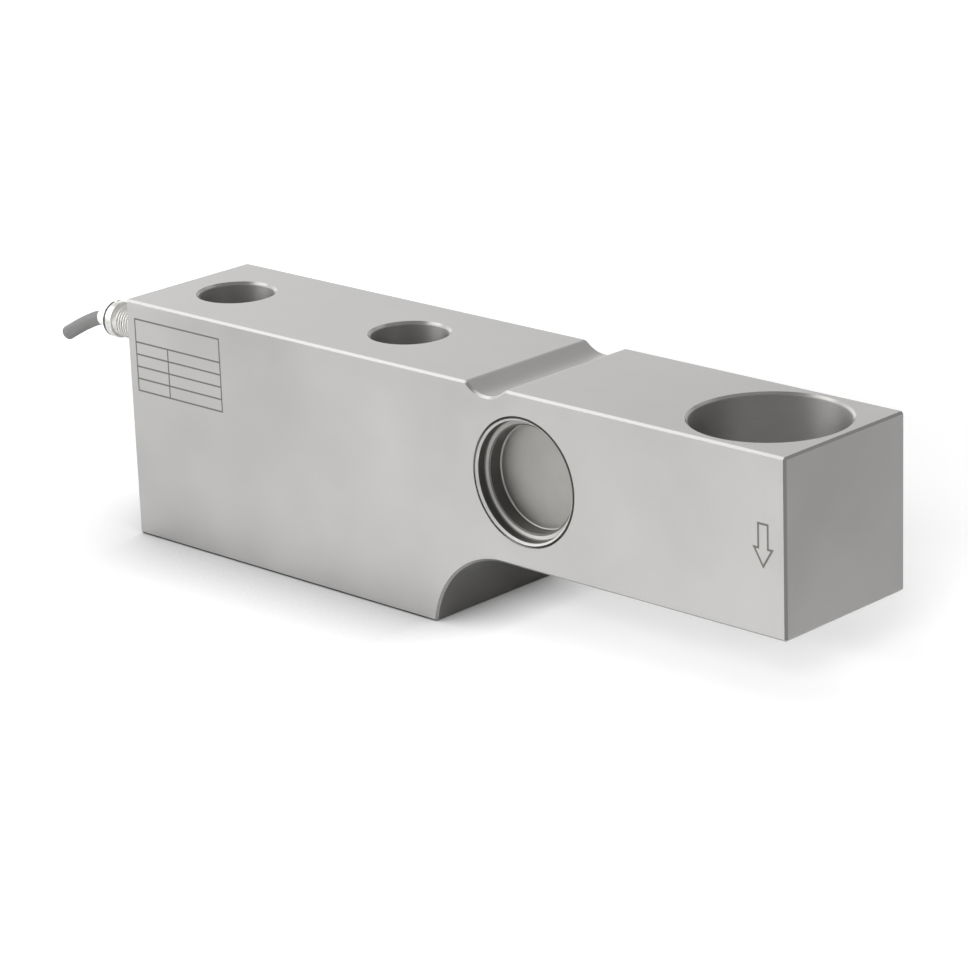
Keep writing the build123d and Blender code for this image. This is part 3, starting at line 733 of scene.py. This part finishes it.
# The terminal board stands on two beds of white silicone, laid wet and cured with a soft skin.
# The board is glass epoxy under a green mask, and the far pocket's terminal strip is cut from the same
# sheet. The mask shows the glass weave faintly, drawn coarser than the real cloth so that it shows.
weave_pitch = 0.0006
silicone_finish = ("#DBDAD5", "#EAE9E4"), (0.4, 0.6), 0.003
coat("board_bed", grained_finish("cured_white_silicone", *silicone_finish, bump=0.00008)[0])
mask_finish = ("#1C5A2C", "#256B37"), (0.22, 0.34), 0.004
board_material, tree, shader, place = grained_finish("masked_glass_epoxy", *mask_finish)
cloth = []
for band in ("X", "Z"):
    threads = {"Vector": place, "Scale": 1 / (pi * weave_pitch)}
    cloth.append(add(tree, "ShaderNodeTexWave", threads, bands_direction=band).outputs["Fac"])
weave = add(tree, "ShaderNodeMath", {0: cloth[0], 1: cloth[1]}, operation="MAXIMUM").outputs[0]
cloth_relief = add(tree, "ShaderNodeBump", {"Strength": 0.2, "Distance": 0.00002, "Height": weave}).outputs[0]
tree.links.new(cloth_relief, shader.inputs["Normal"])
coat("terminal_board", board_material)
coat("far_terminal_strip", board_material)


# Pads are copper, dipped in solder: bright, slightly uneven and rounded by the melt.
# The three trimming resistors of the bridge are ceramic chips under a black glazed coat.
solder_finish = ("#B9BABC", "#D3D4D6"), (0.16, 0.34), 0.0007
solder_material = grained_finish("tinned_copper_pad", *solder_finish, metallic=1.0, bump=0.00006)[0]
coat("board_pads", solder_material)
coat("far_strip_pads", solder_material)
chip_finish = ("#141416", "#222225"), (0.28, 0.4), 0.0004
chip_material = grained_finish("glazed_black_chip", *chip_finish, bump=0.00001)[0]
for node_name in ("span_resistor", "zero_resistor", "temperature_resistor"):
    coat(node_name, chip_material)


# The gauges' own leads are enamelled copper wire, glossy and reddish through the lacquer.
# The crossover wires that pass through the web are fine hook-up wire with yellow insulation.
enamel_finish = ("#9A4A1C", "#B5642C"), (0.2, 0.3), 0.0008
enamel_material = grained_finish("enamelled_copper_wire", *enamel_finish, metallic=0.6)[0]
coat("near_gauge_leads", enamel_material)
coat("far_gauge_leads", enamel_material)
hook_up_finish = ("#DAC23A", "#E8D355"), (0.34, 0.46), 0.0012
coat("crossover_leads", grained_finish("extruded_yellow_hook_up_wire", *hook_up_finish, bump=0.00001)[0])


# Black epoxy is poured round the cores at the bottom of the tapped bore, where it keeps moisture out
# of the wire channel. It cures to a hard, wet-looking shine.
potting_finish = ("#14110E", "#1E1A16"), (0.12, 0.24), 0.002
coat("entry_potting", grained_finish("cast_black_epoxy", *potting_finish, bump=0.00003)[0])


# The marks are laser etched: the laser darkens the steel and leaves no depth to speak of.
# An arrow by the load end shows which way the load acts. By the cable end is a ruled field whose
# cells are left empty for the owner's own data.
etch_stand_off = 0.00001
etch_depth = 0.00003
arrow_x = 0.2221
arrow_top = 0.0650
arrow_neck = 0.0570
arrow_tip = 0.0511
arrow_head_half = 0.0036
arrow_shaft_half = 0.0019
arrow_line = 0.00075
mitre_limit = 0.25
near_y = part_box("beam_body")[0].y
front_y = near_y - etch_stand_off
back_y = near_y + etch_depth

etch_finish = ("#66645F", "#7A7873"), (0.5, 0.68), 0.0003
etch_material = grained_finish("laser_etched_oxide", *etch_finish, metallic=0.6)[0]


def etched_lines(name, loops, line_width):
    """Closed outlines of XZ points as thin flat lines on the near face, mitred at the corners."""
    mesh_maker = bmesh.new()
    for loop in loops:
        points = [Vector(point) for point in loop]
        count = len(points)
        rings = []
        for index, point in enumerate(points):
            into = (point - points[index - 1]).normalized()
            out_of = (points[(index + 1) % count] - point).normalized()
            left_of_into = Vector((-into.y, into.x))
            mitre = (left_of_into + Vector((-out_of.y, out_of.x))).normalized()
            reach = line_width / 2 / max(mitre.dot(left_of_into), mitre_limit)
            ring = []
            for side, y in ((1, front_y), (-1, front_y), (-1, back_y), (1, back_y)):
                flat = point + mitre * reach * side
                ring.append(mesh_maker.verts.new((flat.x, y, flat.y)))
            rings.append(ring)
        for index in range(count):
            ring = rings[index]
            following = rings[(index + 1) % count]
            for side in range(4):
                after = (side + 1) % 4
                mesh_maker.faces.new((ring[side], ring[after], following[after], following[side]))
    bmesh.ops.recalc_face_normals(mesh_maker, faces=mesh_maker.faces)
    mesh = bpy.data.meshes.new(name)
    mesh_maker.to_mesh(mesh)
    mesh_maker.free()
    return finished(name, mesh, etch_material)


arrow_outline = [
    (arrow_x - arrow_shaft_half, arrow_top),
    (arrow_x - arrow_shaft_half, arrow_neck),
    (arrow_x - arrow_head_half, arrow_neck),
    (arrow_x, arrow_tip),
    (arrow_x + arrow_head_half, arrow_neck),
    (arrow_x + arrow_shaft_half, arrow_neck),
    (arrow_x + arrow_shaft_half, arrow_top),
]
etched_lines("load_arrow_etch", [arrow_outline], arrow_line)

field_left = -0.0645
field_right = -0.0210
field_top = 0.0815
field_bottom = 0.0550
field_line = 0.0006
title_height = 0.0085
field_rows = 4
field_split = 0.38
row_height = (field_top - title_height - field_bottom) / field_rows
split_x = field_left + (field_right - field_left) * field_split
half_line = field_line / 2


def etched_bars(name, bars):
    """Level and upright bars on the near face, each given by its left, right, bottom and top."""
    mesh_maker = bmesh.new()
    thickness = etch_stand_off + etch_depth
    for left, right, bottom, top in bars:
        corners = bmesh.ops.create_cube(mesh_maker, size=1.0)["verts"]
        for corner in corners:
            corner.co.x = (left + right) / 2 + corner.co.x * (right - left)
            corner.co.y = front_y + (0.5 + corner.co.y) * thickness
            corner.co.z = (bottom + top) / 2 + corner.co.z * (top - bottom)
    mesh = bpy.data.meshes.new(name)
    mesh_maker.to_mesh(mesh)
    mesh_maker.free()
    return finished(name, mesh, etch_material)


frame_corners = [
    (field_left, field_top),
    (field_left, field_bottom),
    (field_right, field_bottom),
    (field_right, field_top),
]
etched_lines("data_field_frame", [frame_corners], field_line)
inner_left = field_left + half_line
inner_right = field_right - half_line
ruled = []
for row in range(field_rows):
    rule = field_bottom + (row + 1) * row_height
    ruled.append((inner_left, inner_right, rule - half_line, rule + half_line))
    cell_bottom = rule - row_height + half_line
    ruled.append((split_x - half_line, split_x + half_line, cell_bottom, rule - half_line))
etched_bars("data_field_rules", ruled)


# The floor is a plain pale sheet under soft light. It is lit more towards its far parts, so it is white
# there, and it keeps a soft shadow by the object, seen directly and in the metal. It lies a hair below
# the foot, so that the two don't share a plane.
floor_half = 6.0
floor_level = -0.00005
floor_paint = "#E9E9E9"
floor_glow = 1.75
beam_middle = (0.08, 0, 0)
near_share = 0.26
far_share = 0.65
near_reach = 0.25
far_reach = 0.65
mirror_share = 0.02
contact_reach = 0.05
contact_zone = 0.16
foot_middle = (0.008, 0, 0)
foot_fade = (0.0750, 0.1050)

floor_mesh = bpy.data.meshes.new("floor")
floor_corners = [(-1, -1), (1, -1), (1, 1), (-1, 1)]
floor_corners = [(x * floor_half, y * floor_half, floor_level) for x, y in floor_corners]
floor_mesh.from_pydata(floor_corners, [], [(0, 1, 2, 3)])
floor = bpy.data.objects.new("floor", floor_mesh)
scene.collection.objects.link(floor)
floor_material = bpy.data.materials.new("pale_floor")
floor_material.use_nodes = True
tree = floor_material.node_tree
tree.nodes.clear()
ray = add(tree, "ShaderNodeLightPath").outputs
mirrored = {0: ray["Is Glossy Ray"], 1: ray["Is Transmission Ray"]}
mirrored = add(tree, "ShaderNodeMath", mirrored, operation="MAXIMUM").outputs[0]
mirrored = add(tree, "ShaderNodeMath", {0: mirrored, 1: mirror_share}, operation="MULTIPLY").outputs[0]
floor_place = add(tree, "ShaderNodeTexCoord").outputs["Object"]
off_beam = {0: floor_place, 1: beam_middle}
far_off = add(tree, "ShaderNodeVectorMath", off_beam, operation="DISTANCE").outputs["Value"]
sweep = {"Value": far_off, 1: near_reach, 2: far_reach, 3: near_share, 4: far_share}
sweep = add(tree, "ShaderNodeMapRange", sweep).outputs[0]
direct = add(tree, "ShaderNodeMath", {0: ray["Is Camera Ray"], 1: sweep}, operation="MULTIPLY").outputs[0]
share = add(tree, "ShaderNodeMath", {0: direct, 1: mirrored}, operation="MAXIMUM").outputs[0]
paint = add(tree, "ShaderNodeBsdfDiffuse", {"Color": linear(floor_paint)}).outputs[0]
glow = add(tree, "ShaderNodeEmission", {"Color": linear("#FFFFFF"), "Strength": floor_glow}).outputs[0]
lit = add(tree, "ShaderNodeMixShader", {0: share, 1: paint, 2: glow}).outputs[0]

# Close to the foot the floor gets a painted contact shadow, darker where the foot hides more of the room.
# Outside the zone round the foot it stays as it is.
along = add(tree, "ShaderNodeSeparateXYZ", {0: floor_place}).outputs[0]
by_foot = {"Value": along, 1: foot_fade[0], 2: foot_fade[1], 3: 1.0, 4: 0.0}
by_foot = add(tree, "ShaderNodeMapRange", by_foot).outputs[0]
open_share = add(tree, "ShaderNodeAmbientOcclusion", {"Distance": contact_reach}, samples=4).outputs["AO"]
hidden_share = add(tree, "ShaderNodeMath", {0: 1.0, 1: open_share}, operation="SUBTRACT").outputs[0]
painted_contact_shadow = add(tree, "ShaderNodeMath", {0: hidden_share, 1: by_foot}, operation="MULTIPLY").outputs[0]
black = add(tree, "ShaderNodeBsdfDiffuse", {"Color": linear("#000000")}).outputs[0]
shaded = add(tree, "ShaderNodeMixShader", {0: painted_contact_shadow, 1: lit, 2: black}).outputs[0]
off_foot = {0: floor_place, 1: foot_middle}
from_foot = add(tree, "ShaderNodeVectorMath", off_foot, operation="DISTANCE").outputs["Value"]
in_zone = add(tree, "ShaderNodeMath", {0: from_foot, 1: contact_zone}, operation="LESS_THAN").outputs[0]
laid_floor = add(tree, "ShaderNodeMixShader", {0: in_zone, 1: lit, 2: shaded}).outputs[0]
add(tree, "ShaderNodeOutputMaterial", {0: laid_floor})
floor_mesh.materials.append(floor_material)


# The room is a plain studio, white to the eye. What the metal mirrors of it is brighter on the left
# and dimmer overhead, which gives the blasted steel its slow shading. Its other light is even.
sky_light = 0.48
ceiling_level = 0.5
ceiling_climb = (0.3, 0.9)
bright_side = 1.7
dim_side = 0.85
side_heading = (-0.9, -0.5)

world = bpy.data.worlds.new("studio")
world.use_nodes = True
tree = world.node_tree
tree.nodes.clear()
ray = add(tree, "ShaderNodeLightPath").outputs
heading = add(tree, "ShaderNodeTexCoord").outputs["Generated"]
heading_part = add(tree, "ShaderNodeSeparateXYZ", {0: heading}).outputs
overhead = {"Value": heading_part[2], 1: ceiling_climb[0], 2: ceiling_climb[1], 3: 1.0, 4: ceiling_level}
overhead = add(tree, "ShaderNodeMapRange", overhead).outputs[0]
sideways = {"Value": heading_part[0], 1: side_heading[0], 2: side_heading[1], 3: bright_side, 4: dim_side}
sideways = add(tree, "ShaderNodeMapRange", sideways).outputs[0]
room = add(tree, "ShaderNodeMath", {0: overhead, 1: sideways}, operation="MULTIPLY").outputs[0]
mirrored = {0: ray["Is Glossy Ray"], 1: ray["Is Transmission Ray"]}
mirrored = add(tree, "ShaderNodeMath", mirrored, operation="MAXIMUM").outputs[0]
strength = add(tree, "ShaderNodeMapRange", {"Value": mirrored, 3: sky_light, 4: room}).outputs[0]
strength = add(tree, "ShaderNodeMath", {0: strength, 1: ray["Is Camera Ray"]}, operation="MAXIMUM").outputs[0]
sky = add(tree, "ShaderNodeBackground", {"Color": linear("#FFFFFF"), "Strength": strength}).outputs[0]
add(tree, "ShaderNodeOutputWorld", {0: sky})
world.cycles.sampling_method = "NONE"
scene.world = world
scene.view_settings.view_transform = "Standard"


# Two soft boxes light what is matt and cast the shadow, one from the load end's side and one from
# above. The third stands on the left, and only what is glossy mirrors it.
def soft_box(name, place, aim, size, power):
    """A square area lamp that faces a point."""
    lamp = bpy.data.lights.new(name, "AREA")
    lamp.shape = "SQUARE"
    lamp.size = size
    lamp.energy = power
    holder = bpy.data.objects.new(name, lamp)
    holder.location = place
    holder.rotation_euler = (Vector(place) - Vector(aim)).to_track_quat("Z", "Y").to_euler()
    scene.collection.objects.link(holder)
    return holder


key_box = soft_box("key_box", place=(0.92, -1.28, 0.76), aim=(0.08, 0, 0.04), size=0.6, power=28.0)
key_box.visible_glossy = False
top_box = soft_box("top_box", place=(0.0, -0.5, 1.1), aim=(0.0, 0, 0.04), size=0.8, power=4.0)
top_box.visible_glossy = False
side_box = soft_box("side_box", place=(-0.87, -0.9, 0.97), aim=(0.08, 0, 0.04), size=1.4, power=10.0)
side_box.visible_diffuse = False


# A grey flag stands close by the load end, as a studio's card does. The camera looks through it and
# only the metal mirrors it, so that the end face reads darker.
flag_x = 0.252
flag_near_y = -0.35
flag_far_y = 0.8
flag_height = 0.7
flag_level = 0.52

flag_mesh = bpy.data.meshes.new("flag")
flag_corners = [(flag_near_y, 0.0), (flag_far_y, 0.0), (flag_far_y, flag_height), (flag_near_y, flag_height)]
flag_mesh.from_pydata([(flag_x, y, z) for y, z in flag_corners], [], [(0, 1, 2, 3)])
flag = bpy.data.objects.new("flag", flag_mesh)
scene.collection.objects.link(flag)
flag_material = bpy.data.materials.new("grey_flag")
flag_material.use_nodes = True
tree = flag_material.node_tree
tree.nodes.clear()
grey = add(tree, "ShaderNodeEmission", {"Color": linear("#FFFFFF"), "Strength": flag_level}).outputs[0]
add(tree, "ShaderNodeOutputMaterial", {0: grey})
flag_mesh.materials.append(flag_material)
flag.visible_camera = False
flag.visible_diffuse = False
flag.visible_shadow = False
flag.visible_transmission = False
